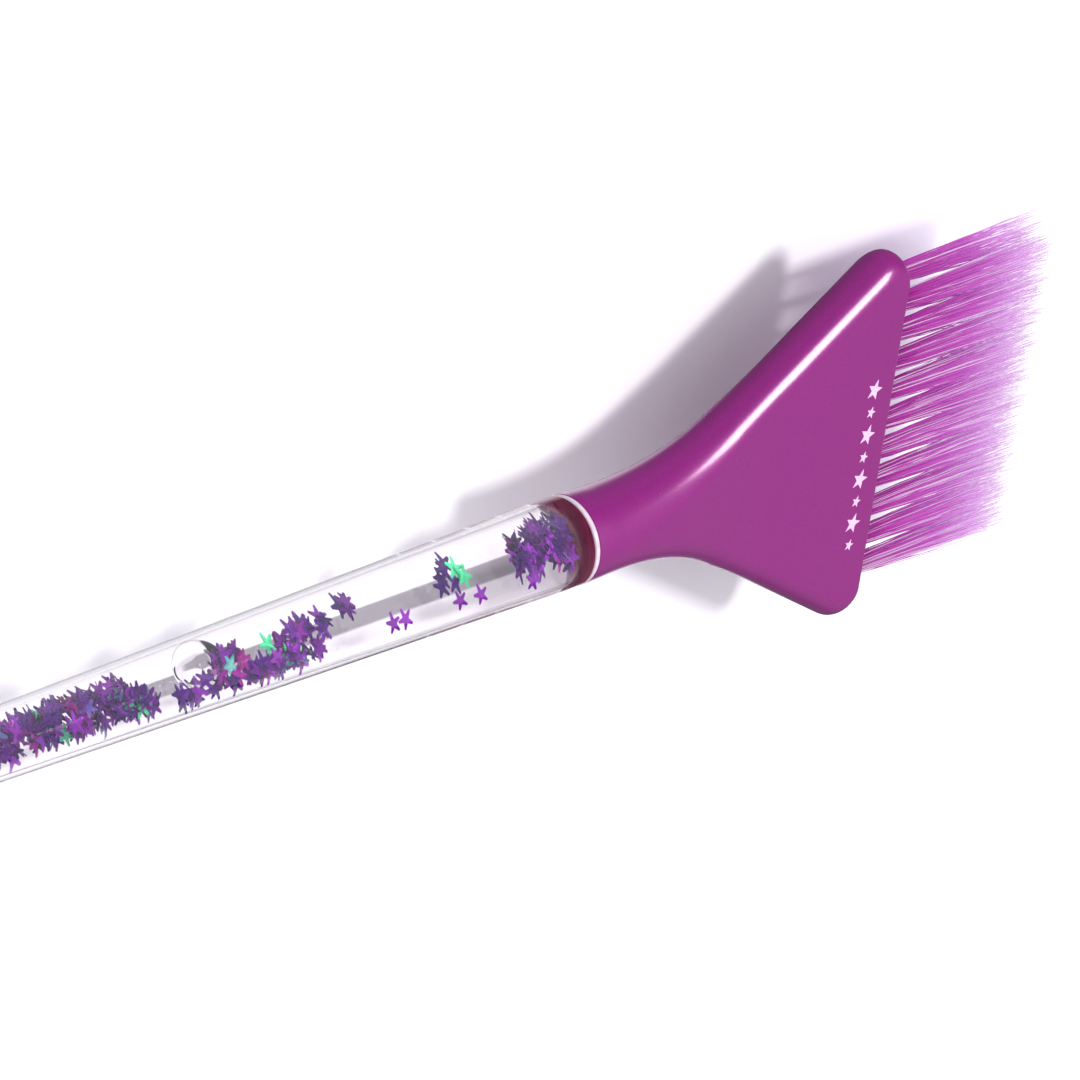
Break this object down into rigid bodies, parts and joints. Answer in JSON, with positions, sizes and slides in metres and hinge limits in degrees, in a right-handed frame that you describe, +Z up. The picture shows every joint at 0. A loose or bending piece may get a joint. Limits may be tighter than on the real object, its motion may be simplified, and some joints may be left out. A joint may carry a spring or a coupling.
{
  "type": "tint brush",
  "caption": "Flat tint brush with a flared glossy paddle head, soft tapered bristles in two staggered rows and a clear liquid-filled handle with floating foil stars.",
  "frame": {"origin": "on the surface that the brush lies on, under the middle of its box", "axes": "+X along the brush from the handle's tail to the bristle tips, +Y across the paddle, +Z up out of the paddle's front face"},
  "size_m": [0.228, 0.0592, 0.0127],
  "materials": {
    "head_plastic": "glossy metallic purple",
    "clear_tube": "clear polished acrylic",
    "ring_plastic": "translucent white",
    "stopper_plastic": "dark maroon",
    "seal_rubber": "smooth black",
    "clear_liquid": "clear oil",
    "star_foil": "metallised holographic film",
    "anchor_metal": "drawn wire",
    "bristle": "translucent dyed filament"
  },
  "bodies": {
    "handle_and_head": {"brush_head": "head_plastic", "handle_tube": "clear_tube", "joint_ring": "ring_plastic", "chamber_stopper": "stopper_plastic", "stopper_o_ring": "seal_rubber", "liquid_fill": "clear_liquid", "stars_tail_heap": "star_foil", "stars_middle_heap": "star_foil", "stars_drifting": "star_foil", "stars_joint_cluster": "star_foil", "anchors_front": "anchor_metal", "anchors_back": "anchor_metal", "tuft_roots_front": "bristle", "tuft_roots_back": "bristle"},
    "back_row": {"tuft_back_01": "bristle", "tuft_back_02": "bristle", "tuft_back_03": "bristle", "tuft_back_04": "bristle", "tuft_back_05": "bristle", "tuft_back_06": "bristle", "tuft_back_07": "bristle", "tuft_back_08": "bristle", "tuft_back_09": "bristle", "tuft_back_10": "bristle", "tuft_back_11": "bristle"},
    "front_row": {"tuft_front_01": "bristle", "tuft_front_02": "bristle", "tuft_front_03": "bristle", "tuft_front_04": "bristle", "tuft_front_05": "bristle", "tuft_front_06": "bristle", "tuft_front_07": "bristle", "tuft_front_08": "bristle", "tuft_front_09": "bristle", "tuft_front_10": "bristle"}
  },
  "joints": [
    {"name": "back_row_flex", "type": "hinge", "parent": "handle_and_head", "child": "back_row", "pos_m": [0.08035, 0, 0.00482], "axis": [0, -1, 0], "range_deg": [-35, 35], "stiffness_Nm_per_rad": 0.03},
    {"name": "front_row_flex", "type": "hinge", "parent": "handle_and_head", "child": "front_row", "pos_m": [0.08035, 0, 0.00788], "axis": [0, -1, 0], "range_deg": [-35, 35], "stiffness_Nm_per_rad": 0.03}
  ],
  "couplings": [
    {"joint": "front_row_flex", "follows": "back_row_flex", "ratio": 1}
  ]
}
